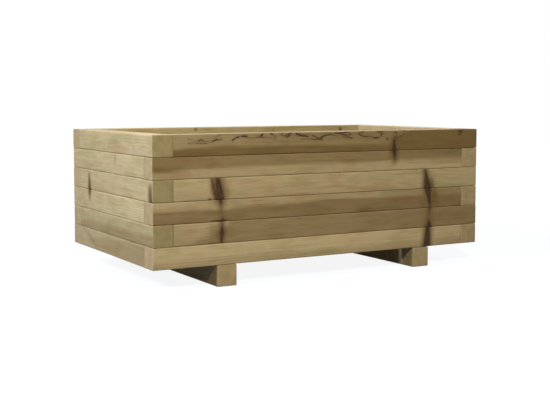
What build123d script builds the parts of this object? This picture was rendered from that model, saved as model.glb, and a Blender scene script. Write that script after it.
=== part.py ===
from build123d import *
from math import sqrt
import os

# Raised garden bed: six courses of square pine timbers, stacked dry, on two skids.
# Millimetres. X runs along the bed, Y from the front wall to the back wall, Z up.
# The origin is on the ground under the middle of the bed.

# The bed as a whole
bed_length = 700
bed_width = 400
course_count = 6

# Planed square timber: the long edges are eased by the planer, the ends are sawn square
timber_thickness = 38
course_height = 38
long_edge_chamfer = 1.5

# Skids, each one timber from the front face of the bed to the back face
skid_width = 38
skid_height = 38
skid_inset = 120  # from the end of the bed to the near side of the skid

# Floor boards, side by side along the bed, lying on the skids between the walls
board_count = 2
board_thickness = 18
board_edge_chamfer = 1.0
drain_gap = 8  # between boards, and between a board and the wall beside it
board_end_gap = 6

# Long hex head timber screws, driven up from underneath, so that none shows at the rim.
# Each head is sunk in a counterbore that leaves room for the socket that drives it.
screw_shank_diameter = 6.0
screw_head_across_flats = 10.0
screw_head_height = 4.5
screw_head_recess = 1.5  # how far its head lies above the underside
screw_point_length = 9
screw_grip = 26  # how far a screw reaches into the top course
screw_hole_clearance = 0.2  # on the radius of the shank, and past the point
socket_room = 2.5  # from a corner of the head to the wall of the counterbore

# Worked out from the sizes above
half_length = bed_length / 2
half_width = bed_width / 2
wall_base = skid_height
rim_height = wall_base + course_count * course_height
inner_length = bed_length - 2 * timber_thickness
inner_width = bed_width - 2 * timber_thickness
long_wall_timber = bed_length - timber_thickness
short_wall_timber = bed_width - timber_thickness
skid_centre = half_length - skid_inset - skid_width / 2
board_length = inner_length - 2 * board_end_gap
board_width = (inner_width - (board_count + 1) * drain_gap) / board_count
shank_radius = screw_shank_diameter / 2
hole_radius = shank_radius + screw_hole_clearance
counterbore_radius = screw_head_across_flats / sqrt(3) + socket_room
counterbore_depth = screw_head_recess + screw_head_height
screw_tip = rim_height - course_height + screw_grip

# Where the screws stand: one in each corner square, and one over each end of each skid
corner_x = half_length - timber_thickness / 2
corner_y = half_width - timber_thickness / 2
corner_points = [(x, y) for x in (-corner_x, corner_x) for y in (-corner_y, corner_y)]
skid_points = [(x, y) for x in (-skid_centre, skid_centre) for y in (-corner_y, corner_y)]

# The walls in the order in which a course runs round the bed, seen from above.
# Each has the unit direction that its timbers run in and the line that they lie on.
walls = {
    "front": ((1, 0), (0, -corner_y)),
    "right": ((0, 1), (corner_x, 0)),
    "back": ((-1, 0), (0, corner_y)),
    "left": ((0, -1), (-corner_x, 0)),
}

os.makedirs("parts", exist_ok=True)


def screws_in(x, y, reach_x, reach_y):
    """The screw points that lie inside one timber's outline seen from above."""
    return [
        (px, py)
        for px, py in corner_points + skid_points
        if abs(px - x) < reach_x and abs(py - y) < reach_y
    ]


def wall_timber(wall, course):
    """One wall timber. It is one thickness shorter than its wall: one end runs out through
    the corner square and shows its end grain, and the other butts against the next wall.
    Odd courses run out backwards along their wall and even ones forwards, so that the
    corner squares belong to the two walls by turns."""
    (dx, dy), (line_x, line_y) = walls[wall]
    length = long_wall_timber if dx else short_wall_timber
    shift = timber_thickness / 2 * (1 if course % 2 == 0 else -1)
    x = line_x + shift * dx
    y = line_y + shift * dy
    bottom = wall_base + (course - 1) * course_height
    middle = bottom + course_height / 2
    start = Plane(
        origin=(x - dx * length / 2, y - dy * length / 2, middle),
        x_dir=(dy, -dx, 0),
        z_dir=(dx, dy, 0),
    )
    reach_x = length / 2 if dx else timber_thickness / 2
    reach_y = length / 2 if dy else timber_thickness / 2
    with BuildPart() as timber:
        with BuildSketch(start):
            section = Rectangle(timber_thickness, course_height)
            chamfer(section.vertices(), long_edge_chamfer)
        extrude(amount=length)
        for px, py in screws_in(x, y, reach_x, reach_y):
            with Locations(Plane(origin=(px, py, bottom), z_dir=(0, 0, -1))):
                over_skid = (px, py) in skid_points
                if course == course_count:
                    Hole(hole_radius, depth=screw_tip + screw_hole_clearance - bottom)
                elif course == 1 and not over_skid:
                    CounterBoreHole(hole_radius, counterbore_radius, counterbore_depth)
                else:
                    Hole(hole_radius)
    return timber.part


def skid(side):
    """One skid: side is -1 for the left one and 1 for the right one. Its ends are flush
    with the front and back faces of the bed, and its screws are sunk in its underside."""
    near_end = Plane(
        origin=(side * skid_centre, -half_width, skid_height / 2),
        x_dir=(1, 0, 0),
        z_dir=(0, 1, 0),
    )
    with BuildPart() as runner:
        with BuildSketch(near_end):
            section = Rectangle(skid_width, skid_height)
            chamfer(section.vertices(), long_edge_chamfer)
        extrude(amount=bed_width)
        with Locations(Plane(origin=(side * skid_centre, 0, 0), z_dir=(0, 0, -1))):
            with Locations((0, -corner_y), (0, corner_y)):
                CounterBoreHole(hole_radius, counterbore_radius, counterbore_depth)
    return runner.part


def floor_board(place):
    """One floor board: place counts the boards from the front wall."""
    first_edge = drain_gap - inner_width / 2
    y = first_edge + place * (board_width + drain_gap) + board_width / 2
    left_end = Plane(
        origin=(-board_length / 2, y, wall_base + board_thickness / 2),
        x_dir=(0, -1, 0),
        z_dir=(1, 0, 0),
    )
    with BuildPart() as board:
        with BuildSketch(left_end):
            section = Rectangle(board_width, board_thickness)
            chamfer(section.vertices(), board_edge_chamfer)
        extrude(amount=board_length)
    return board.part


def long_screws(points, underside):
    """A group of like screws, each with its head sunk in the underside and its point in the
    top course."""
    head_face = underside + screw_head_recess
    shank_start = head_face + screw_head_height
    with BuildPart() as group:
        with BuildSketch(Plane.XY.offset(head_face)):
            with Locations(*points):
                RegularPolygon(screw_head_across_flats / 2, 6, major_radius=False)
        extrude(amount=screw_head_height)
        with BuildSketch(Plane.XY.offset(shank_start)):
            with Locations(*points):
                Circle(shank_radius)
        extrude(amount=screw_tip - screw_point_length - shank_start)
        with Locations(Plane.XY.offset(screw_tip - screw_point_length)):
            with Locations(*points):
                Cone(
                    shank_radius,
                    0,
                    screw_point_length,
                    align=(Align.CENTER, Align.CENTER, Align.MIN),
                )
    return group.part


def finish(part, name):
    """Labels a finished piece and writes its file."""
    part.label = name
    export_step(part, f"parts/{name}.step")


for course in range(1, course_count + 1):
    for wall in walls:
        finish(wall_timber(wall, course), f"{wall}_timber_{course}")

finish(skid(-1), "skid_left")
finish(skid(1), "skid_right")

for place in range(board_count):
    finish(floor_board(place), f"floor_board_{place + 1}")

finish(long_screws(corner_points, wall_base), "corner_screws")
finish(long_screws(skid_points, 0), "skid_screws")
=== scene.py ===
"""A raised garden bed of stacked pine timbers, dressed for looks over its CAD frame.

Metres, in the frame's own axes: X along the bed, Y from the front wall to the back wall,
Z up, with the origin on the ground under the middle of the bed. Shapes are worked out in
millimetres and turned to metres when a mesh is written.
"""
import math

import bpy
import numpy as np
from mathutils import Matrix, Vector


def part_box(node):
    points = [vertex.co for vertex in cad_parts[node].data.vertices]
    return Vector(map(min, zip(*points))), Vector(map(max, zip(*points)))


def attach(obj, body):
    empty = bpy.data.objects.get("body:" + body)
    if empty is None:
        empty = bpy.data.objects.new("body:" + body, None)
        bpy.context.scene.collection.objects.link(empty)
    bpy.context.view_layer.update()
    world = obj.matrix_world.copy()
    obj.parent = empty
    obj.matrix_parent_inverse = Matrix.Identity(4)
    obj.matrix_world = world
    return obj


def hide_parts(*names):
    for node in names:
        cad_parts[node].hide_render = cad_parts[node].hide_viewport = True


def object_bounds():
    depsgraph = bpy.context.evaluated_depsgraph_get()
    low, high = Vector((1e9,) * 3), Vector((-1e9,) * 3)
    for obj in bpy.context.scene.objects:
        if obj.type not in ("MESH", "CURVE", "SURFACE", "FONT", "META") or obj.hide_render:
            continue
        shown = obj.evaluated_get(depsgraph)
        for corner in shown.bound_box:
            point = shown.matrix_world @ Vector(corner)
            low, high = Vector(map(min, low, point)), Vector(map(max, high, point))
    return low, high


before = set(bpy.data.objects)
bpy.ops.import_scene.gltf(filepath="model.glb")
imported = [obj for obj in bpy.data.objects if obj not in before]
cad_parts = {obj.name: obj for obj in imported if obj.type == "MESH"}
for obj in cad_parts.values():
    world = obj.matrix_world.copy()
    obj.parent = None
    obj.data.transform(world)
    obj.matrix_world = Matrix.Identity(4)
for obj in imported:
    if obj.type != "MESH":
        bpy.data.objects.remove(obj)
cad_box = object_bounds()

# Camera
# It stands off the bed's left front corner, a little above the rim, and looks slightly
# down, so that the front and left faces show and the rim hides most of the inside.
photo_width, photo_height = 550, 412
lens_in_pixels = 1017.6
optical_centre_height = 170
look_down = 0.0703
turn_right = 0.5211

camera_data = bpy.data.cameras.new("camera")
camera_data.sensor_width = 36
camera_data.lens = camera_data.sensor_width * lens_in_pixels / photo_width
camera_data.shift_y = -(photo_height / 2 - optical_centre_height) / photo_width
camera = bpy.data.objects.new("camera", camera_data)
camera.location = (-1.01194, -1.76257, 0.32660)
camera.rotation_euler = (math.pi / 2 - look_down, 0, -turn_right)
bpy.context.scene.collection.objects.link(camera)
bpy.context.scene.camera = camera

scene = bpy.context.scene
scene.view_settings.view_transform = "Standard"


# Studio
# A pale floor under plain lamps: one in front for the long face, a wide cool one on the
# left for the end face, a wide one behind, and a dim cool room that fills the shadows.
def paint(code):
    """An sRGB hex colour as linear red, green, blue and alpha."""
    levels = [int(code[i:i + 2], 16) / 255 for i in (1, 3, 5)]
    linear = [v / 12.92 if v <= 0.04045 else ((v + 0.055) / 1.055) ** 2.4 for v in levels]
    return (*linear, 1.0)


def cleared(holder):
    """The node tree of a material or a world, emptied."""
    holder.use_nodes = True
    holder.node_tree.nodes.clear()
    return holder.node_tree


def add(tree, kind, sockets={}, **settings):
    """Adds a node: its settings, then each socket's value or what feeds that socket."""
    made = tree.nodes.new("ShaderNode" + kind)
    for setting, value in settings.items():
        setattr(made, setting, value)
    for key, value in sockets.items():
        if isinstance(key, int):
            socket = made.inputs[key]
        else:
            socket = next(s for s in made.inputs if s.name == key and s.enabled)
        if isinstance(value, bpy.types.Node):
            value = next(s for s in value.outputs if s.enabled)
        if isinstance(value, bpy.types.NodeSocket):
            tree.links.new(value, socket)
        else:
            socket.default_value = value
    return made


def new_piece(name, points, quads, triangles):
    """A mesh object at the origin, from arrays of points in millimetres and of the corners
    of its faces."""
    mesh = bpy.data.meshes.new(name)
    mesh.from_pydata(points / 1000, [], quads.tolist() + triangles.tolist())
    mesh.update()
    piece = bpy.data.objects.new(name, mesh)
    scene.collection.objects.link(piece)
    return piece


def seen_directly(tree):
    """1 for a ray from the camera, off a glossy surface or through glass, and 0 for soft
    light, so that the white ground is seen but doesn't light the bed."""
    path = add(tree, "LightPath")
    either = add(tree, "Math", {0: path.outputs["Is Camera Ray"],
                 1: path.outputs["Is Glossy Ray"]}, operation="MAXIMUM")
    return add(tree, "Math", {0: either, 1: path.outputs["Is Transmission Ray"]},
               operation="MAXIMUM")


world = bpy.data.worlds.new("white room")
scene.world = world
tree = cleared(world)
room_light = add(tree, "Background", {"Color": paint("#D2E0FF"), "Strength": 0.11})
room_seen = add(tree, "Background", {"Color": paint("#FFFFFF"), "Strength": 1.0})
room = add(tree, "MixShader", {0: seen_directly(tree), 1: room_light, 2: room_seen})
add(tree, "OutputWorld", {"Surface": room})

# The floor is a disc of rings, a hair below the undersides of the skids.
floor_sides = 96
floor_drop = 0.5
angle = np.linspace(0, 2 * np.pi, floor_sides, endpoint=False)
reach = np.array([400, 800, 1200, 1800, 2600, 4000, 6000])[:, None]
rings = np.stack([reach * np.cos(angle), reach * np.sin(angle), 0 * reach * angle], axis=-1)
floor_points = np.vstack([rings.reshape(-1, 3), [0, 0, 0]]) - [0, 0, floor_drop]
column = np.arange(floor_sides)
after = (column + 1) % floor_sides
row = np.arange(len(reach) - 1)[:, None] * floor_sides
floor_quads = np.stack([row + column, row + floor_sides + column, row + floor_sides + after,
                        row + after], axis=-1).reshape(-1, 4)
floor_fan = np.column_stack([np.full(floor_sides, len(floor_points) - 1), column, after])
studio_floor = new_piece("studio_floor", floor_points, floor_quads, floor_fan)

# It glows white for the eye, a shade less round the bed, over grey paint that takes the
# bed's shadow and gives back little light.
floor_paint = bpy.data.materials.new("matt white floor paint")
tree = cleared(floor_paint)
place = add(tree, "TexCoord")
away = add(tree, "VectorMath", {0: place.outputs["Object"]}, operation="LENGTH")
far = add(tree, "MapRange", {"Value": away.outputs["Value"], "From Min": 0.7,
          "From Max": 1.5}, interpolation_type="SMOOTHSTEP")
glow = add(tree, "MapRange", {"Value": far, "To Min": 0.90, "To Max": 1.0})
shine = add(tree, "Math", {0: glow, 1: seen_directly(tree)}, operation="MULTIPLY")
lit = add(tree, "Emission", {"Color": paint("#FFFFFF"), "Strength": shine})
matt = add(tree, "BsdfDiffuse", {"Color": paint("#646E7C")})
both = add(tree, "AddShader", {0: lit, 1: matt})
add(tree, "OutputMaterial", {"Surface": both})
studio_floor.data.materials.append(floor_paint)

lamps_aim = np.array([-0.05, -0.1, 0.15])
for name, spot, size, power, tint in (
    ("front_lamp", (-0.56, -1.76, 1.36), 0.14, 34.5, "#FFFAF5"),
    ("left_lamp", (-1.90, -0.16, 1.42), 0.90, 63, "#DCE5FF"),
    ("back_lamp", (1.70, 2.10, 1.60), 1.40, 42, "#FFFFFF"),
):
    lamp_data = bpy.data.lights.new(name, "AREA")
    lamp_data.shape = "DISK"
    lamp_data.size = size
    lamp_data.energy = power
    lamp_data.color = paint(tint)[:3]
    lamp = bpy.data.objects.new(name, lamp_data)
    lamp.location = spot
    aim = lamps_aim - spot
    flat = math.hypot(aim[0], aim[1])
    lamp.rotation_euler = (math.atan2(flat, -aim[2]), 0, math.atan2(-aim[0], aim[1]))
    scene.collection.objects.link(lamp)


# Planed timber
# Every wall timber and skid is the same stock, sawn and planed square, with its long edges
# rounded off by the planer and its ends crosscut. This gives its shape, in millimetres.
long_edge_radius = 1.5
end_edge_radius = 0.4
edge_arc = np.radians([18, 36, 54, 72])
rings_on_an_end = 7


def eased_ring(width, height, radius, inset, sides):
    """The cross section as a ring of points: four flat sides joined by quarter circles,
    all drawn in by the inset. sides gives the places along each flat as shares of it,
    from -1 to 1, for the outer side, the top, the inner side and the underside."""
    flat = np.array([width, height]) / 2 - radius
    points = []
    for quarter, shares in enumerate(sides):
        turn = quarter * np.pi / 2
        out = np.array([np.cos(turn), np.sin(turn)]).round()
        along = np.array([-out[1], out[0]])
        depth = abs(out @ flat) + radius - inset
        run = abs(along @ flat)
        points.append(out * depth + along * run * np.asarray(shares)[:, None])
        corner = out * abs(out @ flat) + along * run
        bend = np.outer(np.cos(edge_arc), out) + np.outer(np.sin(edge_arc), along)
        points.append(corner + (radius - inset) * bend)
    return np.vstack(points)


def closed_skin(grid, first_pole, last_pole):
    """Points, quads and triangles of a closed skin: neighbouring rings of the grid are
    joined by quads, and its first and last rings are closed on a pole. Where the skin's
    signed volume, summed over triangles, is negative, every face is turned outwards."""
    rows, columns = grid.shape[:2]
    column = np.arange(columns)
    after = (column + 1) % columns
    row = np.arange(rows - 1)[:, None] * columns
    quads = np.stack([row + column, row + after, row + columns + after,
                      row + columns + column], axis=-1).reshape(-1, 4)
    pole = np.full(columns, rows * columns)
    last_row = (rows - 1) * columns
    fans = np.vstack([np.column_stack([pole, after, column]),
                      np.column_stack([pole + 1, last_row + column, last_row + after])])
    points = np.vstack([grid.reshape(-1, 3), first_pole, last_pole])
    halves = np.vstack([quads[:, :3], quads[:, [0, 2, 3]], fans])
    a, b, c = (points[halves[:, k]] - points.mean(axis=0) for k in range(3))
    if np.einsum("ij,ij->", a, np.cross(b, c)) < 0:
        quads, fans = quads[:, ::-1], fans[:, ::-1]
    return points, quads, fans


def timber_grid(stations, width, height, radius, sides):
    """The timber's skin as rings of (along, outward, up): a ring at each station, two more
    that round each end, and rings that shrink to the middle of each end. Each step is a
    place along the timber, the ring's inset and its share of the full size."""
    start, end = stations[0], stations[-1]
    ease = end_edge_radius
    slight = 0.3 * ease
    shares = [k / rings_on_an_end for k in range(1, rings_on_an_end)]
    steps = [(start, ease, share) for share in shares]
    steps += [(start, ease, 1.0), (start + slight, slight, 1.0), (start + ease, 0.0, 1.0)]
    steps += [(s, 0.0, 1.0) for s in stations[1:-1] if start + ease < s < end - ease]
    steps += [(end - ease, 0.0, 1.0), (end - slight, slight, 1.0), (end, ease, 1.0)]
    steps += [(end, ease, share) for share in reversed(shares)]
    section = {inset: eased_ring(width, height, radius, inset, sides)
               for inset in (0.0, slight, ease)}
    return np.array([np.column_stack([np.full(len(section[inset]), s), section[inset] * share])
                     for s, inset, share in steps])


# How the tree grew
# Each timber is a stick out of a young pine: its rings lie round a pith that wanders
# beside or inside it, brown heartwood up to a certain ring, and knots that bend the grain.
# Each wave of the rings: its rise, how far it runs for a radian, and radians a millimetre up.
ring_waves = ((0.9, 83, 0), (0.45, 37, 0), (0.25, 15, 1 / 8))
seed_along, seed_across, knot_apart = 1000, 50, 70
knot_softness, softness_per_radius, most_softness = 4, 4.5, 24
swell_reach, rings_pushed, fibres_pushed = 5, 0.7, 0.25


def wandering(s, marks, column):
    """A value that follows given marks along the timber. Between two marks it is a mix
    of theirs, with the share t of the way there eased to 3 t squared less 2 t cubed."""
    marks = np.array(marks, dtype=float)
    if len(marks) == 1:
        return np.full_like(s, marks[0, column])
    share = np.interp(s, marks[:, 0], np.arange(len(marks)))
    step = np.minimum(share.astype(int), len(marks) - 2)
    t = share - step
    t = t * t * (3 - 2 * t)
    values = marks[:, column]
    return values[step] * (1 - t) + values[step + 1] * t


def distance_to_run(p, a, b):
    """How far points lie from the straight run between a and b, and how far along it the
    nearest place is, from 0 at a to 1 at b."""
    a, b = np.array(a, dtype=float), np.array(b, dtype=float)
    t = np.clip((p - a) @ (b - a) / max((b - a) @ (b - a), 1e-9), 0, 1)
    return np.linalg.norm(p - a - t[:, None] * (b - a), axis=1), t


def grown(p, wood):
    """Where points (along, outward, height over the ground) lie in the tree. fibre is the
    place along and across the fibres, bent round each knot and moved to a part of the
    patterns of its own by the seed. growth is the distance from the pith in millimetres,
    plus waves along the timber and a swell that dies away from each knot. knot is the
    nearest knot's darkness times 0 away from it, half at its edge and 1 well inside. branch
    is the place across and along that knot."""
    rng = np.random.default_rng(wood["seed"])
    s, o, z = p.T
    h = z - wood["middle"]
    growth = np.hypot(o - wandering(s, wood["pith"], 1), h - wandering(s, wood["pith"], 2))
    for (rise, length, per_height), phase in zip(ring_waves, rng.uniform(0, 2 * np.pi, 3)):
        growth += rise * np.sin(s / length + h * per_height + phase)
    fibre = np.column_stack([s + seed_along * wood["seed"], o + seed_across * wood["seed"], h])
    knot = np.zeros_like(s)
    branch = np.zeros_like(p)
    for number, (a, b, radius_a, radius_b, dark_a, dark_b) in enumerate(wood["knots"]):
        away, t = distance_to_run(p, a, b)
        radius = radius_a + (radius_b - radius_a) * t
        edge = away - radius
        soft = np.minimum(knot_softness + softness_per_radius * radius, most_softness)
        closeness = (dark_a + (dark_b - dark_a) * t) * np.clip(0.5 - edge / soft, 0, 1)
        run = np.array(b, dtype=float) - a
        length = np.linalg.norm(run)
        sideways = np.cross(run, (0, 1, 0))
        sideways /= max(np.linalg.norm(sideways), 1e-6)
        nearest = closeness > knot
        down = t * length + knot_apart * number
        branch[nearest] = np.column_stack([(p - a) @ sideways, down, o])[nearest]
        knot = np.maximum(knot, closeness)
        fading = np.exp(-np.clip(edge, 0, None) / (swell_reach + radius_a))
        swell = (radius_a + radius_b) / 2 * fading
        growth += rings_pushed * swell
        fibre[:, 2] -= fibres_pushed * swell
    return fibre, growth, knot, branch


# Pressure-treated planed pine
# The planer leaves a dry matt face on which the late wood shows as brown lines, fine
# fibres as streaks, and the copper salts of the treatment as a faint green cast.
ring_width = 3.4


def late_wood(tree, growth, sway):
    """The dark part of each ring. A ring is one ring width of growth, swayed by up to 3 mm:
    its late wood rises smoothly from 0.35 to 0.86 of it and ends between 0.9 and 1."""
    swayed = add(tree, "Math", {0: sway, 1: 3.0, 2: growth}, operation="MULTIPLY_ADD")
    turns = add(tree, "Math", {0: swayed, 1: ring_width}, operation="DIVIDE")
    ring = add(tree, "Math", {0: turns}, operation="FRACT")
    rise = add(tree, "MapRange", {"Value": ring, "From Min": 0.35, "From Max": 0.86},
               interpolation_type="SMOOTHSTEP")
    fall = add(tree, "MapRange", {"Value": ring, "From Min": 0.90, "To Min": 1.0, "To Max": 0.0},
               interpolation_type="SMOOTHSTEP")
    return add(tree, "Math", {0: rise, 1: fall}, operation="MULTIPLY")


def marked(tree, colour, marks):
    """A colour with marks laid over it one by one. Each starts where its pattern is at one
    level, rises smoothly to its strength at another, and is mixed in or multiplied on."""
    for pattern, start, full, strength, blend, mark in marks:
        share = add(tree, "MapRange", {"Value": pattern, "From Min": start, "From Max": full,
                    "To Max": strength}, interpolation_type="SMOOTHSTEP")
        colour = add(tree, "Mix", {"Factor": share, "A": colour, "B": mark},
                     data_type="RGBA", blend_type=blend)
    return colour


planed_pine = bpy.data.materials.new("pressure-treated planed pine")
tree = cleared(planed_pine)
fibre = add(tree, "Attribute", attribute_name="fibre").outputs["Vector"]
growth = add(tree, "Attribute", attribute_name="growth").outputs["Fac"]
branch = add(tree, "Attribute", attribute_name="branch").outputs["Vector"]
tone = add(tree, "Attribute", attribute_name="tone").outputs["Vector"]
tone = add(tree, "SeparateXYZ", {0: tone})
flaw = add(tree, "Attribute", attribute_name="flaw").outputs["Vector"]
flaw = add(tree, "SeparateXYZ", {0: flaw})
# Patterns drawn out along the fibres, each with its size along and across them in
# millimetres. Hair lines are as fine as the picture shows, and real fibres are far finer.
patterns = {}
for name, lengthwise, crosswise, detail in (
    ("drift", 170, 16, 2.0),
    ("streak", 110, 2.6, 3.0),
    ("hair", 26, 0.75, 3.0),
    ("cloud", 85, 22, 2.0),
    ("resin", 48, 1.7, 2.0),
):
    scale = (1 / lengthwise, 1 / crosswise, 1 / crosswise)
    spot = add(tree, "VectorMath", {0: fibre, 1: scale}, operation="MULTIPLY")
    patterns[name] = add(tree, "TexNoise", {"Vector": spot, "Scale": 1.0, "Detail": detail,
                         "Roughness": 0.55})
late = late_wood(tree, growth, patterns["drift"])

# Pale sapwood outside, brown heartwood inside, with a ragged edge between the two.
late_sap = add(tree, "Math", {0: late, 1: 0.15}, operation="MULTIPLY")
sapwood = add(tree, "Mix", {"Factor": late_sap, "A": paint("#C6B07F"), "B": paint("#917A48")},
              data_type="RGBA")
late_heart = add(tree, "Math", {0: late, 1: 0.22}, operation="MULTIPLY")
heartwood = add(tree, "Mix", {"Factor": late_heart, "A": paint("#785C34"), "B": paint("#573E22")},
                data_type="RGBA")
ragged = add(tree, "Math", {0: patterns["streak"], 1: 0.30, 2: -0.425}, operation="MULTIPLY_ADD")
ragged = add(tree, "Math", {0: patterns["drift"], 1: 0.55, 2: ragged}, operation="MULTIPLY_ADD")
inward = add(tree, "Math", {0: tone.outputs["X"], 1: ragged}, operation="ADD")
inside = add(tree, "MapRange", {"Value": inward, "From Min": 0.22, "From Max": 0.78},
             interpolation_type="SMOOTHSTEP")
heart = add(tree, "Math", {0: inside, 1: tone.outputs["Y"]}, operation="MULTIPLY")
body = add(tree, "Mix", {"Factor": heart, "A": sapwood, "B": heartwood}, data_type="RGBA")
# Mixed toward a dark tan by the tone's third value, the tan and the brown stains; where a
# timber's underside is set darker, this is partly painted shade.
tanned_with_painted_shade = add(tree, "Mix", {"Factor": tone.outputs["Z"], "A": body, "B": paint("#766034")},
             data_type="RGBA")

# The treatment took unevenly and left wide green patches, besides the listed stains.
patch = add(tree, "MapRange", {"Value": patterns["cloud"], "From Min": 0.48, "From Max": 0.70,
            "To Max": 0.34}, interpolation_type="SMOOTHSTEP")
mossy = add(tree, "Math", {0: patch, 1: flaw.outputs["Z"]}, operation="ADD")
colour = add(tree, "Mix", {"Factor": mossy, "A": tanned_with_painted_shade, "B": paint("#C2CC98")},
             data_type="RGBA", blend_type="MULTIPLY")

# Knots are streaked lengthwise themselves, and their edges are torn.
across_knot = add(tree, "VectorMath", {0: branch, 1: (1 / 1.3, 1 / 16, 1 / 20)},
                  operation="MULTIPLY")
knot_streak = add(tree, "TexNoise", {"Vector": across_knot, "Scale": 1.0, "Detail": 3.0,
                  "Roughness": 0.6})
torn = add(tree, "Math", {0: knot_streak, 1: 0.24, 2: -0.12}, operation="MULTIPLY_ADD")
near_knot = add(tree, "Math", {0: flaw.outputs["X"], 1: torn}, operation="ADD")
share = add(tree, "MapRange", {"Value": knot_streak, "From Min": 0.40, "From Max": 0.68},
            interpolation_type="SMOOTHSTEP")
knot_wood = add(tree, "Mix", {"Factor": share, "A": paint("#2D1E0D"), "B": paint("#604526")},
                data_type="RGBA")

colour = marked(tree, colour, (
    # Streaks, hair lines and short threads of resin run along the fibres.
    (patterns["streak"], 0.46, 0.78, 0.23, "MULTIPLY", paint("#8F7A50")),
    (patterns["hair"], 0.44, 0.74, 0.11, "MULTIPLY", paint("#8A774F")),
    (patterns["resin"], 0.66, 0.76, 0.48, "MULTIPLY", paint("#8A6A40")),
    # The wood is ruddy where it took less of the treatment.
    (patterns["cloud"], 0.50, 0.30, 0.36, "MULTIPLY", paint("#DCC0A6")),
    # A knot lies in a brown halo.
    (near_knot, 0.06, 0.50, 0.72, "MIX", paint("#67502B")),
    (near_knot, 0.44, 0.62, 1.0, "MIX", knot_wood),
    # Larval grooves are packed with dark dust and lie in slightly dusty wood.
    (flaw.outputs["Y"], 0.10, 0.85, 0.30, "MIX", paint("#6B4C2C")),
    (flaw.outputs["Y"], 0.79, 0.95, 0.90, "MIX", paint("#3A2717")),
))

# Raised late wood and fibres stand about a tenth of a millimetre, drawn a little deeper
# here so that they still catch the light at the size of the picture.
relief = add(tree, "Math", {0: patterns["hair"], 1: -0.8}, operation="MULTIPLY")
relief = add(tree, "Math", {0: late, 1: 0.5, 2: relief}, operation="MULTIPLY_ADD")
relief = add(tree, "Math", {0: patterns["streak"], 1: -0.5, 2: relief},
             operation="MULTIPLY_ADD")
bump = add(tree, "Bump", {"Height": relief, "Strength": 0.5, "Distance": 0.00022})
rough = add(tree, "MapRange", {"Value": late, "To Min": 0.78, "To Max": 0.60})
wood_shader = add(tree, "BsdfPrincipled", {"Base Color": colour, "Roughness": rough,
                  "IOR": 1.45, "Normal": bump})
wood_shader.inputs["Specular IOR Level"].default_value = 0.22
add(tree, "OutputMaterial", {"Surface": wood_shader})


# Sawn end grain
# The crosscut ends drink up more of the treatment, so they are olive and duller. The saw
# leaves shallow arcs over the rings, and the open fibres show as fine dark pores.
arc_spacing = 2.8
crosscut_pine = bpy.data.materials.new("pressure-treated crosscut pine end grain")
tree = cleared(crosscut_pine)
fibre = add(tree, "Attribute", attribute_name="fibre").outputs["Vector"]
growth = add(tree, "Attribute", attribute_name="growth").outputs["Fac"]
soaked = add(tree, "Attribute", attribute_name="soaked").outputs["Fac"]
flaw = add(tree, "Attribute", attribute_name="flaw").outputs["Vector"]
flaw = add(tree, "SeparateXYZ", {0: flaw})
# Blotches are 13 mm across. Pores are 0.9 mm, far wider than real ones, which don't show.
spot = add(tree, "VectorMath", {0: fibre, 1: (1 / 30, 1 / 13, 1 / 13)}, operation="MULTIPLY")
blotch = add(tree, "TexNoise", {"Vector": spot, "Scale": 1.0, "Detail": 3.0,
             "Roughness": 0.55})
spot = add(tree, "VectorMath", {0: fibre, 1: (1 / 3, 1 / 0.9, 1 / 0.9)}, operation="MULTIPLY")
pores = add(tree, "TexNoise", {"Vector": spot, "Scale": 1.0, "Detail": 3.0,
            "Roughness": 0.55})
late = late_wood(tree, growth, blotch)
# The saw's arcs lie round one point. Each timber is elsewhere in the patterns, so they cross
# every end at another slope.
arc = add(tree, "VectorMath", {0: fibre, 1: (0.0, 1.0, 1.0)}, operation="MULTIPLY")
arc = add(tree, "VectorMath", {0: arc, 1: (0.0, 60.0, -170.0)}, operation="DISTANCE")
turns = add(tree, "Math", {0: arc.outputs["Value"], 1: 2 * math.pi / arc_spacing},
            operation="MULTIPLY")
kerf = add(tree, "Math", {0: turns}, operation="SINE")
bare = add(tree, "Mix", {"Factor": soaked, "A": paint("#BAA072"), "B": paint("#A08F5E")},
           data_type="RGBA")
share = add(tree, "Math", {0: late, 1: 0.26}, operation="MULTIPLY")
colour = add(tree, "Mix", {"Factor": share, "A": bare, "B": paint("#6E5F3A")},
             data_type="RGBA")
colour = marked(tree, colour, (
    (blotch, 0.35, 0.70, 0.26, "MULTIPLY", paint("#A5A27E")),
    (pores, 0.45, 0.72, 0.20, "MULTIPLY", paint("#8C7F58")),
    (flaw.outputs["X"], 0.40, 0.55, 0.85, "MIX", paint("#3E2C1D")),
))
relief = add(tree, "Math", {0: pores, 1: -1.2}, operation="MULTIPLY")
relief = add(tree, "Math", {0: kerf, 1: 0.35, 2: relief}, operation="MULTIPLY_ADD")
relief = add(tree, "Math", {0: late, 1: 0.6, 2: relief}, operation="MULTIPLY_ADD")
bump = add(tree, "Bump", {"Height": relief, "Strength": 0.6, "Distance": 0.00022})
end_shader = add(tree, "BsdfPrincipled", {"Base Color": colour, "Roughness": 0.85,
                 "IOR": 1.45, "Normal": bump})
end_shader.inputs["Specular IOR Level"].default_value = 0.25
add(tree, "OutputMaterial", {"Surface": end_shader})


# Drilled holes
# Each corner and each end of a skid is bored from underneath for a long screw, right
# through the lower courses and partly into the top one, and bored wider for its head.
corner_screws = [(x, y) for x in (-331, 331) for y in (-181, 181)]
skid_screws = [(x, y) for x in (-211, 211) for y in (-181, 181)]
hole_radius = 3.2
hole_top = 254.2
hole_sides = 40
head_room_radius = 8.27
head_room_depth = 6.0
overcut = 2


def turned(x, y, theta, rings, first, last):
    """A closed skin round an upright axis. Each ring gives its radius, one for all or one
    for each direction theta, and its height. first and last are the heights of its poles."""
    grid = np.array([np.column_stack([x + radius * np.cos(theta), y + radius * np.sin(theta),
                                      np.full(len(theta), z)]) for radius, z in rings])
    return closed_skin(grid, [x, y, first], [x, y, last])


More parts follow.
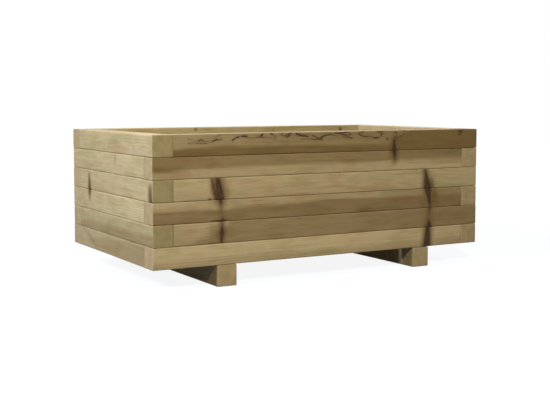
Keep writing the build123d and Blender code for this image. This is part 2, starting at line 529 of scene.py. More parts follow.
def joined(skins):
    """Several skins as one: their points end to end, and each skin's faces counted on from
    the points before it."""
    points, quads, fans = zip(*skins)
    before = np.cumsum([0] + [len(skin) for skin in points[:-1]])
    return (np.vstack(points),
            np.vstack([faces + count for faces, count in zip(quads, before)]),
            np.vstack([faces + count for faces, count in zip(fans, before)]))


def bore(piece, holes):
    """Cuts lathe-turned holes out of a piece and leaves it a plain mesh. A hole's profile
    lists (radius, height) from its lower pole to its upper pole."""
    theta = np.linspace(0, 2 * np.pi, hole_sides, endpoint=False)
    cutter = new_piece("cutter", *joined(
        [turned(x, y, theta, profile[1:-1], profile[0][1], profile[-1][1])
         for x, y, profile in holes]))
    cut = piece.modifiers.new("bored", "BOOLEAN")
    cut.operation = "DIFFERENCE"
    cut.solver = "MANIFOLD"
    cut.object = cutter
    whole = piece.evaluated_get(bpy.context.evaluated_depsgraph_get())
    bored_mesh = bpy.data.meshes.new_from_object(whole)
    piece.modifiers.remove(cut)
    plain_mesh = piece.data
    piece.data = bored_mesh
    bored_mesh.name = piece.name
    bpy.data.meshes.remove(plain_mesh)
    cutter_mesh = cutter.data
    bpy.data.objects.remove(cutter)
    bpy.data.meshes.remove(cutter_mesh)


def screw_holes(node, headed):
    """The long screws' holes through a timber, as places and lathe profiles. headed is the
    list of screws whose heads it takes in from underneath."""
    low, high = (np.array(corner) * 1000 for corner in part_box(node))
    below = low[2] - overcut
    shoulder = low[2] + head_room_depth
    top = min(high[2] + overcut, hole_top)
    holes = []
    for x, y in corner_screws + skid_screws:
        if low[0] < x < high[0] and low[1] < y < high[1]:
            foot = [(0, below), (hole_radius, below)]
            if (x, y) in headed:
                foot = [(0, below), (head_room_radius, below), (head_room_radius, shoulder),
                        (hole_radius, shoulder)]
            holes.append((x, y, foot + [(hole_radius, top), (0, top)]))
    return holes


# Cutting a timber to its place
# A finished timber takes the box of its CAD node, less a hair all round for the dry joint,
# and carries its wood's pattern as attributes on its points.
dry_gap = 0.2
grid_step = 2.4
face_depth = 1.5  # how deep under the outer face points are still moved with it
dust_depth = 1.2  # how deep under it they still take a groove's dust
dust_reach = 5  # how far from a groove its dust lies
groove_depth = 0.6
knot_dip = 0.18
dip_at, dip_width = 0.45, 0.09  # where the dip lies, as the knot's closeness
heart_blur = 16
runs_a_curve = 6
cut_slope, cut_reach = 0.9, 0.3
wood_crease = math.radians(40)


def coat(piece, to_timber, wood, ends, holes):
    """Writes the wood's pattern on a piece's points and sorts its faces into planed ones
    and cut ones. Cut are the faces at the ends that look along the timber, and those on the
    walls of drilled holes. Heart closeness falls from 1 to 0 across the blurred edge of the
    heartwood, and each stain is a bell curve along and up the timber."""
    mesh = piece.data
    count = len(mesh.vertices)
    places = np.empty(count * 3)
    mesh.vertices.foreach_get("co", places)
    p = to_timber(places.reshape(-1, 3) * 1000)
    fibre, growth, knot, branch = grown(p, wood)
    s, o, z = p.T
    heart = np.clip(0.5 + (wandering(s, wood["heart"], 1) - growth) / heart_blur, 0, 1)
    # The tan is blended from its top value to its underside value up the face; where the
    # underside is darker, this is partly painted shade.
    down = np.clip((wood["high"] - z) / (wood["high"] - wood["low"]), 0, 1)
    shade = {"green": np.zeros(count),
             "brown": (wandering(s, wood["tan"], 1) * (1 - down)
                       + wandering(s, wood["tan"], -1) * down)}
    for centre_s, centre_z, reach_s, reach_z, amount, kind in wood["stains"]:
        shade[kind] += amount * np.exp(-((s - centre_s) / reach_s) ** 2
                                       - ((z - centre_z) / reach_z) ** 2)
    gallery = np.zeros(count)
    face = o > wood["face"] - dust_depth
    gallery[face] = eaten(s[face], z[face], wood["galleries"])[0]
    depth = np.full(count, wood["depth"])
    for name, values in (
        ("fibre", fibre),
        ("branch", branch),
        ("tone", np.column_stack([heart, depth, np.clip(shade["brown"], 0, 1)])),
        ("flaw", np.column_stack([knot, gallery, shade["green"]])),
    ):
        mesh.attributes.new(name, "FLOAT_VECTOR", "POINT").data.foreach_set(
            "vector", values.astype(np.float32).ravel())
    for name, values in (("growth", growth), ("soaked", np.full(count, wood["soaked"]))):
        mesh.attributes.new(name, "FLOAT", "POINT").data.foreach_set(
            "value", values.astype(np.float32))
    faces = len(mesh.polygons)
    middles, normals = np.empty(faces * 3), np.empty(faces * 3)
    mesh.polygons.foreach_get("center", middles)
    mesh.polygons.foreach_get("normal", normals)
    middles = middles.reshape(-1, 3) * 1000
    along = to_timber(middles)[:, 0]
    run = abs(to_timber(middles + normals.reshape(-1, 3))[:, 0] - along)
    cut = (run > cut_slope) & ((along < ends[0] + cut_reach) | (along > ends[1] - cut_reach))
    for x, y, profile in holes:
        widest = max(radius for radius, height in profile) + 0.01
        near = np.hypot(middles[:, 0] - x, middles[:, 1] - y) < widest
        cut |= near & (middles[:, 2] > wood["low"] + 0.5) & (middles[:, 2] < wood["high"] - 0.5)
    mesh.polygons.foreach_set("material_index", cut.astype(np.int32))
    mesh.polygons.foreach_set("use_smooth", np.ones(faces, dtype=bool))
    mesh.set_sharp_from_angle(angle=wood_crease)
    mesh.update()


def planed_timber(node, outward, wood, slot, holes, step=grid_step, radius=long_edge_radius,
                  stations=None, outer=None):
    """One timber in the place of its CAD node: its grid, bent and sunk point by point, with
    its holes cut. outward is the direction its outer face looks, and it runs across that.
    Along it, millimetres count from the bed's left end or front face. stations and outer
    are the places of its rings and of the points up its outer face, where not even."""
    low, high = (np.array(corner) * 1000 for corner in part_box(node))
    run_axis, out_axis = (0, 1) if outward[0] == 0 else (1, 0)
    facing = outward[out_axis]
    bed_start = cad_box[0][run_axis] * 1000
    # Every stick is bowed by up to 0.4 mm and cut up to half a millimetre short at each end.
    rng = np.random.default_rng(wood["seed"] + 500)
    bow = rng.uniform(0.1, 0.4)
    bow_start = rng.uniform(0, 2 * np.pi)
    short = rng.uniform(0.1, 0.5, 2)
    start = low[run_axis] - bed_start + short[0]
    end = high[run_axis] - bed_start - short[1]
    width = high[out_axis] - low[out_axis] - 2 * dry_gap
    height = high[2] - low[2] - 2 * dry_gap
    middle = (low + high) / 2
    if stations is None:
        stations = np.linspace(start, end, int((end - start) / step) + 1)
    between = stations[(stations > start + 1) & (stations < end - 1)]
    across = np.linspace(-1, 1, int(width / step) + 1)
    up = np.linspace(-1, 1, int(height / step) + 1)
    grid = timber_grid(np.concatenate([[start], between, [end]]), width, height, radius,
                       (up if outer is None else outer, across, up, across))
    s, o, h = grid.reshape(-1, 3).T
    bend = 0.5 + 0.5 * np.cos(2 * np.pi * (s - start) / (end - start) + bow_start)
    p = np.column_stack([s, o - bow * bend * (o > 0), h + middle[2]])
    wood = dict(wood, middle=middle[2], low=low[2], high=high[2], face=width / 2)
    # Knots are harder than the wood round them, so the planer leaves their middles proud
    # and a shallow dip round them.
    face = p[:, 1] > width / 2 - face_depth
    knot = grown(p, wood)[2]
    sunk = knot_dip * np.exp(-((knot - dip_at) / dip_width) ** 2)
    sunk[face] += groove_depth * eaten(p[face, 0], p[face, 2], wood["galleries"])[1]
    p[:, 1] -= sunk * face

    def to_bed(q):
        """The timber's (along, outward, height) as the bed's X, Y and Z."""
        out = np.empty_like(q)
        out[:, run_axis] = q[:, 0] + bed_start
        out[:, out_axis] = facing * q[:, 1] + middle[out_axis]
        out[:, 2] = q[:, 2]
        return out

    def to_timber(q):
        """The bed's X, Y and Z as the timber's (along, outward, height)."""
        return np.column_stack([q[:, run_axis] - bed_start,
                                facing * (q[:, out_axis] - middle[out_axis]), q[:, 2]])

    poles = to_bed(np.array([[start, 0, middle[2]], [end, 0, middle[2]]]))
    piece = new_piece(f"planed_{node}", *closed_skin(to_bed(p).reshape(grid.shape), *poles))
    bore(piece, holes)
    piece.data.materials.clear()
    piece.data.materials.append(planed_pine)
    piece.data.materials.append(crosscut_pine)
    coat(piece, to_timber, wood, (start, end), holes)
    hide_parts(node)
    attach(piece, "root")


def plain_wood(seed, **chosen):
    """A timber's wood: what isn't chosen is drawn from its seed. Marks begin with
    their place along the timber. pith goes on with where the tree's middle lies, outward
    and up, heart with the radius of its heartwood, and tan with how tanned the face is at
    its top and at its underside, where a darker underside is partly painted shade. depth is
    how brown the heartwood is, and soaked how much of the treatment the ends took up. A
    stain is its middle along and up, its reach along and up, its amount and its colour.
    galleries are larval grooves."""
    rng = np.random.default_rng(seed)
    side = rng.choice([-1, 1])
    ends = rng.uniform(-12, 12, 2)
    wood = {
        "seed": seed,
        "pith": [(0, -rng.uniform(8, 34), side * rng.uniform(10, 34) + ends[0]),
                 (350, -rng.uniform(8, 34), side * rng.uniform(10, 34)),
                 (700, -rng.uniform(8, 34), side * rng.uniform(10, 34) + ends[1])],
        "heart": [(0, rng.uniform(5, 30)), (700, rng.uniform(5, 40))],
        "depth": rng.uniform(0.2, 0.9),
        "tan": [(0, rng.uniform(0, 0.3)), (350, rng.uniform(0, 0.3)), (700, rng.uniform(0, 0.3))],
        "knots": [],
        "stains": [],
        "galleries": [],
        "soaked": rng.uniform(0, 1),
    }
    wood.update(chosen)
    return wood


def eaten(s, z, strokes):
    """How close points of a face lie to a groove, which falls from its peak in the groove
    to 0 at the dust's reach from it, and how deep in it they lie, from 0 to 1. Each stroke
    gives its width and the points of a smooth curve, which is cut into short straight
    runs: a cubic between each two that leaves a point in the direction from the one before
    it to the one after it."""
    close, deep = np.zeros_like(s), np.zeros_like(s)
    for width, *stroke in strokes:
        stroke = np.array(stroke)
        lead = np.vstack([2 * stroke[0] - stroke[1], stroke, 2 * stroke[-1] - stroke[-2]])
        t = np.arange(runs_a_curve)[:, None] / runs_a_curve
        line = [0.5 * (2 * b + (c - a) * t + (2 * a - 5 * b + 4 * c - d) * t ** 2
                       + (3 * b - a - 3 * c + d) * t ** 3)
                for a, b, c, d in zip(lead[:-3], lead[1:-2], lead[2:-1], lead[3:])]
        line = np.vstack(line + [stroke[-1:]])
        near = (s > line[:, 0].min() - 6) & (s < line[:, 0].max() + 6)
        q = np.column_stack([s[near], z[near]])
        # Gnawed by bites, the groove swells and narrows every few millimetres.
        wobble = 0.35 * np.sin(q[:, 0] / 1.7) * np.sin(q[:, 0] / 2.9 + q[:, 1] / 1.3)
        away = np.full(len(q), 99.0)
        for a, b in zip(line[:-1], line[1:]):
            away = np.minimum(away, distance_to_run(q, a, b)[0])
        beyond = away - (width - 1) * 0.55 + wobble
        # Narrow grooves were only just opened, and some run back under the skin in places.
        peak = 0.88 + 0.12 * (width - 1) + 0.06 * np.sin(q[:, 0] / 6.1 + 5 * width)
        close[near] = np.maximum(close[near], peak * np.clip(1 - beyond / dust_reach, 0, 1))
        deep[near] = np.maximum(deep[near], np.clip(1.4 - away / (0.6 * width), 0, 1))
    return close, deep


# Skids
# Two timbers of the same stock lie across under the bed and lift it off the ground, so
# that water drains away. Their ends are flush with the front and back walls.
for number, side in enumerate(("left", "right")):
    wood = plain_wood(41 + number, pith=[(0, -26, -34), (400, -34, -22)], heart=[(0, 14)],
                      tan=[(0, 0.5), (400, 0.4)], soaked=0.25)
    node = f"skid_{side}"
    planed_timber(node, (-1, 0), wood, "skid_timber", screw_holes(node, skid_screws))


# Front wall
# Six timbers, each with its outer face in plain view, so their heartwood, knots and stains
# are given one by one. A knot gives (along the bed, outward, height) for both of its ends,
# then its radius and how dark it is at each.
front_woods = {
    6: plain_wood(
        6, depth=0.97, soaked=0.1, pith=[(38, 8, -34), (700, 4, -38)],
        heart=[(38, 28), (90, 31), (135, 34), (480, 34), (510, 50), (545, 62), (700, 62)],
        tan=[(38, 0.55, 0.6), (300, 0.82, 0.7), (700, 0.92, 0.7)],
        knots=[((496.5, 18, 249), (496.5, 18, 222), 3.8, 6.8, 0.92, 1.08),
               ((653, 19, 262), (661, 19, 262.5), 1.2, 1.6, 1.1, 1.1),
               ((660, 19, 262), (656, 19, 255), 1.6, 1.2, 1.1, 1.1),
               ((479.8, 19, 249.8), (481, 19, 249.6), 1.4, 1.4, 1.0, 1.0)]),
    5: plain_wood(
        5, depth=0.65, soaked=0.15, pith=[(0, 6, 30), (662, 2, 34)],
        heart=[(0, 36), (450, 37), (662, 38)],
        tan=[(0, 0.66, 0.42), (45, 0.55, 0.42), (80, 0.3, 0.42), (480, 0.4, 0.34),
             (520, 0.6, 0.2), (662, 0.65, 0.1)],
        knots=[((496.8, 18, 232), (498, 18, 211), 6.8, 4.4, 1.08, 0.84)],
        stains=[(12, 207, 34, 6, 0.4, "brown")]),
    4: plain_wood(
        4, depth=0.3, soaked=0.1, pith=[(38, -40, -30), (350, -34, -24), (700, -48, -30)],
        heart=[(0, 5)], tan=[(38, 0.14, 0.4), (350, 0.25, 0.4), (700, 0.2, 0.34)],
        knots=[((121, 18, 194), (126.5, 18, 149), 12.5, 7.6, 0.60, 1.12),
               ((110, 19, 190), (117, 19, 154), 1.2, 1.6, 1.05, 1.05),
               ((570.5, 18, 194), (578.5, 18, 149), 2.6, 10.0, 0.88, 1.06),
               ((106.4, 19, 153.2), (106.6, 19, 153), 1.0, 1.0, 1.3, 1.3)],
        stains=[(588, 159, 7, 14, 0.65, "brown"), (141, 165, 6, 16, 0.3, "brown"),
                (114, 176, 6, 16, 0.7, "brown")]),
    3: plain_wood(
        3, depth=0.72, soaked=0.15, pith=[(0, 4, -34), (662, 2, -36)],
        heart=[(0, 43), (662, 46)],
        tan=[(0, 0.2, 0.2), (150, 0.42, 0.24), (450, 0.42, 0.3), (520, 0.62, 0.45),
             (662, 0.62, 0.45)],
        knots=[((126.5, 18, 156), (129, 18, 128), 7.0, 3.4, 0.96, 0.62),
               ((108, 19, 115.6), (130, 19, 116.0), 0.4, 1.5, 0.95, 1.15),
               ((130, 19, 116.0), (147, 19, 116.8), 1.5, 0.4, 1.15, 0.95),
               ((131, 19, 121), (130, 19, 113), 2.0, 4.6, 0.85, 1.2),
               ((578, 18, 153), (583.5, 18, 122), 8.2, 3.4, 1.05, 1.0),
               ((583.5, 18, 122), (583.5, 18, 113), 3.4, 3.0, 1.0, 0.85)],
        stains=[(425, 119, 16, 7, 0.6, "brown"), (595, 132, 9, 18, 0.6, "brown"),
                (566, 124, 6, 10, 0.4, "brown")]),
    2: plain_wood(
        2, depth=0.6, soaked=0.1, pith=[(38, 2, -26), (110, 2, -18), (700, 0, -14)],
        heart=[(38, 16), (100, 22), (190, 60), (700, 64)],
        tan=[(38, 0.35, 0.5), (140, 0.15, 0.25), (480, 0.2, 0.3), (520, 0.38, 0.42),
             (700, 0.38, 0.42)],
        knots=[((130, 18, 113), (129.2, 18, 95), 4.0, 4.8, 0.82, 1.06),
               ((129.2, 18, 95), (128.5, 18, 78), 4.8, 3.2, 1.06, 0.95),
               ((104, 19, 77.2), (134, 19, 77.2), 0.8, 0.8, 0.8, 0.9),
               ((583, 18, 116), (582, 18, 98), 4.0, 4.2, 0.98, 0.66),
               ((582, 18, 98), (581, 18, 74), 4.2, 7.4, 0.66, 1.12)],
        stains=[(115, 96, 12, 15, 0.55, "brown"), (146, 96, 10, 12, 0.35, "brown")]),
    1: plain_wood(
        1, depth=0.3, soaked=0.05, pith=[(0, -8, -42), (662, -14, -40)],
        heart=[(0, 44), (662, 48)],
        tan=[(0, 0.0, 0.08), (480, 0.0, 0.08), (520, 0.12, 0.12), (662, 0.15, 0.12)],
        knots=[((579, 18, 80), (576.5, 18, 34), 7.8, 8.6, 0.84, 1.1)]),
}

# Beetle larvae fed under the bark here before the tree was sawn: thin winding grooves that
# the planer has only just opened, each a width and the points of a line along the top edge.
grooves = [
    (1.0, (65.8, 256.8), (71.9, 256.8), (76.6, 254.5), (80.6, 252.8), (86, 254.6), (90, 255.6),
     (96, 253.4), (104, 252.7), (111, 254.5), (116.4, 257.9), (121.8, 261.3), (127.2, 264)),
    (1.1, (67.1, 250.1), (84, 250.4), (97.5, 249.3), (109.7, 251.1), (115, 253.2),
     (120.5, 254.5), (129.9, 255.9)),
    (1.9, (85, 254.6), (92, 255.6)),
    (1.6, (112, 252.6), (119, 256.2), (122, 255.4)),
    (1.7, (150.2, 253.6), (154.2, 256.5), (159.6, 259), (165, 260.3), (178.5, 259.9)),
    (2.1, (157, 257.6), (163, 259.6)),
    (2.2, (170, 260.6), (179, 260.4)),
    (1.2, (178.5, 259.9), (182.6, 257.2), (192, 256.5), (200.1, 258.6), (205.5, 260.6),
     (209.6, 264)),
    (2.6, (207.5, 260.5), (210.5, 263.6)),
    (1.0, (202.8, 258), (219, 256.8), (229.8, 255.5), (236.6, 253.8)),
    (1.3, (225.8, 264.9), (229.8, 263.3), (233.9, 259.9), (236.6, 256.5)),
    (1.8, (226.5, 264.4), (230.5, 262.8)),
    (1.6, (251.4, 265.3), (248.7, 261.3), (255.5, 259.2), (262.2, 262), (270.3, 264.6)),
    (1.6, (266, 264), (264, 259.5), (259, 257)),
    (2.1, (279.8, 264.6), (283.8, 261.3), (293.5, 259.2), (304.3, 257.6)),
    (2.4, (280.5, 262.6), (287, 261.2)),
    (1.9, (313.8, 258.6), (320.5, 256.8), (327.3, 253.2), (334, 251.8)),
    (1.2, (290.8, 252.5), (310, 252.6), (331, 251.4)),
    (2.0, (331.3, 255.2), (338, 257.9), (344.8, 259.5), (355.6, 260.3)),
    (1.3, (355.6, 260.3), (366.4, 257.2), (374.5, 256.8)),
    (1.9, (361, 262.6), (374.5, 262.6), (384, 263.3), (393.4, 263.3), (396.1, 259.9),
     (392, 255.2), (400.2, 252.5)),
    (2.2, (378, 260.2), (388, 258.6)),
    (1.3, (370, 258.6), (382, 255.6), (392, 254.4)),
    (1.5, (425.8, 264.4), (415, 261.3), (417.7, 259.2), (425.8, 255.9), (439.3, 254.9),
     (444.7, 253.8), (450.1, 251.8)),
    (2.0, (450.1, 252.4), (461, 252.2)),
    (2.0, (457.6, 264.4), (470, 264.4)),
    (2.1, (465, 263.6), (467.2, 259.4), (465.6, 255.4)),
    (1.2, (461, 260.6), (471, 260.4)),
    (1.4, (496, 259.9), (498.7, 262), (502.8, 259.9), (502.8, 256.5), (500, 253.2),
     (497, 251)),
    (1.6, (502.8, 248.4), (508.2, 252.5), (514.9, 255.2), (520.3, 259.2), (521.7, 263.3),
     (517.6, 264.4)),
]

front_woods[6]["galleries"] = grooves
fine_run = np.concatenate([np.arange(40, 58, grid_step), np.arange(60, 530, 0.8),
                           np.arange(531, 699, grid_step)])
fine_face = np.concatenate([np.linspace(-1, -0.05, 8)[:-1], np.linspace(-0.05, 1, 24)])


def stacked(wall, outward, woods, finer={}):
    """Lays a wall's six timbers, of which the bottom one takes in the heads of the corner
    screws. finer gives, by course, the closer grid of a timber with grooves."""
    for course in range(1, 7):
        node = f"{wall}_timber_{course}"
        headed = corner_screws if course == 1 else []
        planed_timber(node, outward, woods[course], "wall_timber", screw_holes(node, headed),
                      **finer.get(course, {}))


stacked("front", (0, -1), front_woods, {6: {"stations": fine_run, "outer": fine_face}})


# Left wall
# Six shorter timbers, seen from outside as the paler end of the bed. Their knots and stains
# are given as on the front wall, counted from the front face backwards.
left_woods = {
    6: plain_wood(
        16, depth=0.2, soaked=0.9, pith=[(0, -30, -30), (400, -38, -24)], heart=[(0, 5)],
        tan=[(0, 0.08, 0.2), (400, 0.2, 0.3)],
        knots=[((83, 19, 246), (82, 19, 240), 0.8, 0.8, 0.62, 0.62)],
        stains=[(175, 248, 34, 8, 0.62, "green")]),
    5: plain_wood(
        15, depth=0.2, pith=[(0, -40, 20), (400, -30, 28)], heart=[(0, 5)],
        tan=[(0, 0.1, 0.15), (400, 0.15, 0.3)],
        knots=[((171, 19, 222), (172, 19, 211), 3.4, 3.0, 0.42, 0.48)]),
    4: plain_wood(
        14, depth=0.2, soaked=1.0, pith=[(0, -34, -26), (400, -26, -34)], heart=[(0, 5)],
        tan=[(0, 0.12, 0.12), (400, 0.22, 0.25)],
        knots=[((17.5, 19, 177), (15.5, 19, 150), 0.6, 1.2, 0.85, 1.05),
               ((10.5, 18, 175), (9.5, 18, 150), 5.4, 6.4, 0.72, 0.80),
               ((8, 19, 166), (5.5, 19, 149), 1.2, 3.4, 0.75, 1.25),
               ((309, 18, 181), (308.5, 18, 148), 2.2, 6.2, 0.85, 1.05)],
        stains=[(10, 166, 6.5, 14, 0.85, "brown")]),
    3: plain_wood(
        13, depth=0.2, pith=[(0, -30, 34), (400, -36, 30)], heart=[(0, 5)],
        tan=[(0, 0.0, 0.04), (400, 0.22, 0.25)],
        knots=[((308.5, 18, 156), (308.5, 18, 134), 6.2, 2.0, 1.05, 0.8)]),
    2: plain_wood(
        12, depth=0.35, soaked=1.0, pith=[(0, -10, -22), (400, -16, -30)],
        heart=[(0, 38), (400, 40)], tan=[(0, 0.18, 0.46)],
        stains=[(190, 90, 400, 40, 0.15, "green")]),
    1: plain_wood(
        11, depth=0.35, pith=[(0, -16, 4), (200, -14, -4), (400, -20, -18)],
        heart=[(0, 40), (400, 34)], tan=[(0, 0.34, 0.36)],
        knots=[((345, 19, 74), (305, 19, 60), 2.0, 3.4, 0.40, 0.48),
               ((305, 19, 60), (262, 19, 38), 3.4, 2.4, 0.48, 0.40)]),
}
stacked("left", (-1, 0), left_woods)


# Back wall
# Six long timbers. The inside of the top one shows over the front rim, with a few small
# knots. Outside, brown heartwood and two big knots run through neighbouring courses.
back_woods = {
    6: plain_wood(
        26, soaked=0.3, tan=[(0, 0.1), (700, 0.2)], heart=[(0, 4)],
        knots=[((252, -22, 262.5), (252, -14, 262), 1.6, 1.4, 0.95, 0.95),
               ((439, -22, 258.5), (439, -14, 258), 1.2, 1.2, 0.8, 0.8),
               ((613, -22, 257.5), (614, -14, 257), 2.4, 2.2, 1.0, 1.0)],
        stains=[(350, 255, 500, 60, 0.3, "green")]),
    5: plain_wood(
        25, depth=0.7, soaked=0.0, pith=[(0, 6, 34), (700, 4, 30)], heart=[(0, 38), (700, 42)],
        knots=[((182, 18, 229), (184, 18, 190), 4.0, 7.5, 0.8, 1.05)]),
    4: plain_wood(
        24, soaked=0.0, tan=[(0, 0.05), (700, 0.25)], heart=[(0, 4)],
        knots=[((185, 18, 191), (183, 18, 160), 7.0, 2.5, 1.05, 0.7)]),
    3: plain_wood(
        23, soaked=0.0, tan=[(0, 0.45, 0.25), (700, 0.3, 0.5)],
        stains=[(400, 122, 30, 8, 0.5, "brown")]),
    2: plain_wood(
        22, depth=0.65, soaked=0.0, pith=[(0, 2, -30), (700, 0, -22)],
        heart=[(0, 30), (700, 52)],
        knots=[((521, 18, 115), (519, 18, 82), 3.5, 6.5, 0.85, 1.1)]),
    1: plain_wood(
        21, soaked=0.0, tan=[(0, 0.0), (700, 0.12)], heart=[(0, 4)],
        knots=[((519, 18, 77), (521, 18, 36), 7.0, 6.0, 0.95, 0.9)]),
}
stacked("back", (0, 1), back_woods)


# Right wall
# Six shorter timbers like those of the left wall. Their sawn ends show at the right front
# corner, and the inner side of the top one takes the light that falls in over the rim.
right_woods = {
    6: plain_wood(
        36, soaked=0.35, tan=[(0, 0.14)], heart=[(0, 4)]),
    5: plain_wood(
        35, depth=0.6, soaked=0.35, pith=[(0, 4, 30), (400, 2, 34)],
        heart=[(0, 34), (400, 30)]),
    4: plain_wood(
        34, soaked=0.35, tan=[(0, 0.25), (400, 0.1)], heart=[(0, 4)],
        knots=[((96, 18, 188), (98, 18, 151), 6.5, 3.0, 1.05, 0.8)]),
    3: plain_wood(
        33, soaked=0.35, tan=[(0, 0.0), (400, 0.1)], heart=[(0, 4)],
        knots=[((98, 18, 152), (97, 18, 128), 3.0, 1.6, 0.9, 0.7)]),
    2: plain_wood(
        32, soaked=0.35, tan=[(0, 0.4, 0.2), (400, 0.25, 0.45)]),
    1: plain_wood(
        31, depth=0.5, soaked=0.35, pith=[(0, -6, -38), (400, -2, -32)],
        heart=[(0, 40), (400, 46)],
        knots=[((287, 18, 76), (286, 18, 38), 4.0, 8.0, 0.8, 1.05)]),
}
stacked("right", (1, 0), right_woods)


# Floor boards
# Two wide boards lie on the skids inside the bottom course and carry the soil. The slots
# between and beside them let the water out, and two small screws hold each to each skid.
board_top = 56.0
board_edge_radius = 1.0
board_grid_step = 3.2
board_screw_places = [(x, y) for x in (-211, 211) for y in (-129, -29, 29, 129)]
board_hole_radius, sink_radius = 2.1, 4.3
sink = [(0, board_top - 21), (board_hole_radius, board_top - 21),
        (board_hole_radius, board_top - 3), (sink_radius, board_top - 0.1),
        (sink_radius, board_top + overcut), (0, board_top + overcut)]
board_woods = {
    1: plain_wood(
        51, depth=0.5, pith=[(0, 10, -40), (350, 16, -60), (700, 4, -44)], heart=[(0, 30)],
        tan=[(0, 0.2)],
        knots=[((150, -34, 60), (150, -34, 34), 9, 8, 1.0, 1.0),
               ((470, 20, 60), (468, 21, 34), 7, 6, 0.9, 0.9)]),
    2: plain_wood(
        52, depth=0.5, pith=[(0, -20, -46), (350, -12, -58), (700, -26, -40)], heart=[(0, 30)],
        tan=[(0, 0.3)],
        knots=[((260, 40, 60), (262, 42, 34), 8, 7, 0.85, 0.85),
               ((560, -30, 60), (560, -30, 34), 5, 4, 1.0, 1.0)]),
}
for number in (1, 2):
    held = [(x, y, sink) for x, y in board_screw_places if (y > 0) == (number == 2)]
    planed_timber(f"floor_board_{number}", (0, -1), board_woods[number], "floor_board", held,
                  step=board_grid_step, radius=board_edge_radius)


# Zinc-plated steel
# The screws are turned and rolled from steel wire, then plated: bright grey with a faint
# blue, and duller and yellower in cloudy patches where the plating was sealed.
plated_steel = bpy.data.materials.new("zinc-plated steel")
tree = cleared(plated_steel)
place = add(tree, "TexCoord")
# Cloudy patches 4 mm across, and rolling marks a third of a millimetre apart.
patches = add(tree, "TexNoise", {"Vector": place.outputs["Object"],
              "Scale": 1 / 0.004, "Detail": 3.0})
rolled = add(tree, "TexNoise", {"Vector": place.outputs["Object"],
             "Scale": 1 / 0.00035, "Detail": 1.0})
sealed = add(tree, "MapRange", {"Value": patches, "From Min": 0.35, "From Max": 0.68},
             interpolation_type="SMOOTHSTEP")
plating = add(tree, "Mix", {"Factor": sealed, "A": paint("#B9BCC0"), "B": paint("#B3AB93")},
              data_type="RGBA")
dull = add(tree, "MapRange", {"Value": sealed, "To Min": 0.28, "To Max": 0.46})
steel_bump = add(tree, "Bump", {"Height": rolled, "Strength": 0.3, "Distance": 0.00004})
steel_shader = add(tree, "BsdfPrincipled", {"Base Color": plating, "Roughness": dull,
                   "Normal": steel_bump})
steel_shader.inputs["Metallic"].default_value = 1.0
add(tree, "OutputMaterial", {"Surface": steel_shader})


# Long screws
# Hex head timber screws, one up through each corner and one up through each end of each
# skid. Each is driven from underneath, where its head lies sunk, into the top course.
screw_sides = 24
across_flats = 10.0
head_height = 4.5
head_recess = 1.5
shank_radius = 3.0
smooth_radius = 2.9
root_radius = 2.15
thread_length = 70.0
thread_pitch = 3.4
rings_a_turn = 9
point_length = 9.0
screw_tip = 254.0
half_ridge = 0.22
steel_crease = math.radians(32)


def rolled_thread(theta, z, start, end, point, root, crest, pitch):
    """The radius of a threaded shank round and along it: a sharp ridge, half_ridge of a
    pitch wide on either side, that climbs one pitch a turn over a plain root. It fades in
    over its first pitch, and the whole tapers to the point."""
    turn = (z - start) / pitch - theta / (2 * np.pi)
    ridge = np.clip(1 - np.abs(turn - np.floor(turn) - 0.5) / half_ridge, 0, 1)
    fade = np.clip((z - start) / pitch, 0, 1)
    taper = np.clip((end - z) / point, 0, 1)
    return (root + (crest - root) * ridge * fade) * taper ** 0.8


def hex_radius(theta, flats):
    """The distance from the middle of a hexagon to its side in each direction: half the
    width across flats over the cosine of the angle off the middle of that side."""
    sixth = np.pi / 3
    return flats / 2 / np.cos(np.mod(theta, sixth) - sixth / 2)


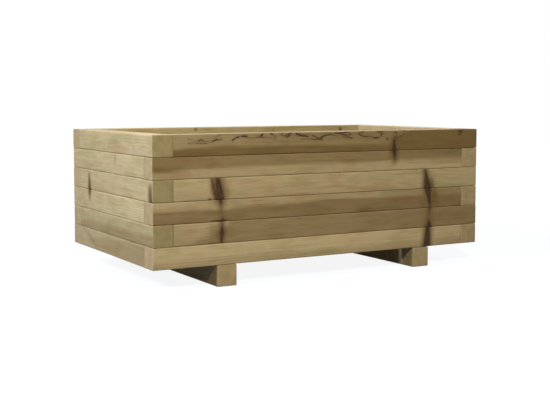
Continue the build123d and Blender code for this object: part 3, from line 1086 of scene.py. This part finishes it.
def long_screw(x, y, underside):
    """One long screw as rings from its head to its point: a head with bevelled corners and
    a shallow dish, a smooth shank, and a rolled thread."""
    theta = np.linspace(0, 2 * np.pi, screw_sides, endpoint=False)
    face = underside + head_recess
    seat = face + head_height
    start = screw_tip - thread_length
    hexagon = hex_radius(theta, across_flats)
    bevel = np.minimum(hexagon, across_flats / 2 + 0.05)
    rings = [(bevel * 0.45, face + 0.5), (bevel * 0.72, face + 0.1), (bevel * 0.93, face),
             (bevel, face + 0.05), (hexagon, face + 0.75), (hexagon, seat - 0.7),
             (bevel, seat), (shank_radius, seat), (smooth_radius, seat + 1),
             (smooth_radius, start - 6)]
    rings += [(rolled_thread(theta, z, start, screw_tip, point_length, root_radius,
                             shank_radius, thread_pitch), z)
              for z in np.arange(start, screw_tip - 0.2, thread_pitch / rings_a_turn)]
    return turned(x, y, theta, rings, face + 0.6, screw_tip)


def plated(name, skins):
    """A group of screws as one piece of plated steel, smooth but for its sharp edges."""
    piece = new_piece(name, *joined(skins))
    piece.data.materials.append(plated_steel)
    smooth = np.ones(len(piece.data.polygons), dtype=bool)
    piece.data.polygons.foreach_set("use_smooth", smooth)
    piece.data.set_sharp_from_angle(angle=steel_crease)
    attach(piece, "root")
    return piece


for node, places, underside in (("corner_screws", corner_screws, 38.0),
                                ("skid_screws", skid_screws, 0.0)):
    screws = plated(f"threaded_{node}", [long_screw(x, y, underside) for x, y in places])
    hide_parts(node)


# Floor board screws
# Small countersunk screws with a six-lobed socket, two through each board into each skid,
# driven until their heads lie just under the face.
board_screw_sides = 36
board_screw_length = 35
head_below_face = 0.4
lobe_radius, lobe_swing = 1.45, 0.32
board_thread_pitch = 2.0
board_rings_a_turn = 7
board_root_radius, board_crest_radius = 1.25, 1.95
board_point_length = 6.0


def board_screw(x, y):
    """One small screw as rings from the bottom of its socket, out over its head, down the
    cone under it and along the thread to the point. The socket's radius swings six times
    round, as a cosine."""
    theta = np.linspace(0, 2 * np.pi, board_screw_sides, endpoint=False)
    face = board_top - head_below_face
    tip = face - board_screw_length
    start = face - 13
    lobes = lobe_radius + lobe_swing * np.cos(6 * theta)
    rings = [(lobes * 0.8, face - 1.7), (lobes, face - 1.5), (lobes, face - 0.1),
             (lobes + 0.15, face), (3.75, face), (3.95, face - 0.2), (3.85, face - 0.5),
             (1.7, face - 2.6), (1.6, face - 12)]
    rings += [(rolled_thread(-theta, start - z, 0, start - tip, board_point_length,
                             board_root_radius, board_crest_radius, board_thread_pitch), z)
              for z in np.arange(start, tip + 0.2, -board_thread_pitch / board_rings_a_turn)]
    return turned(x, y, theta, rings, face - 1.8, tip)


plated("floor_board_screws", [board_screw(x, y) for x, y in board_screw_places])
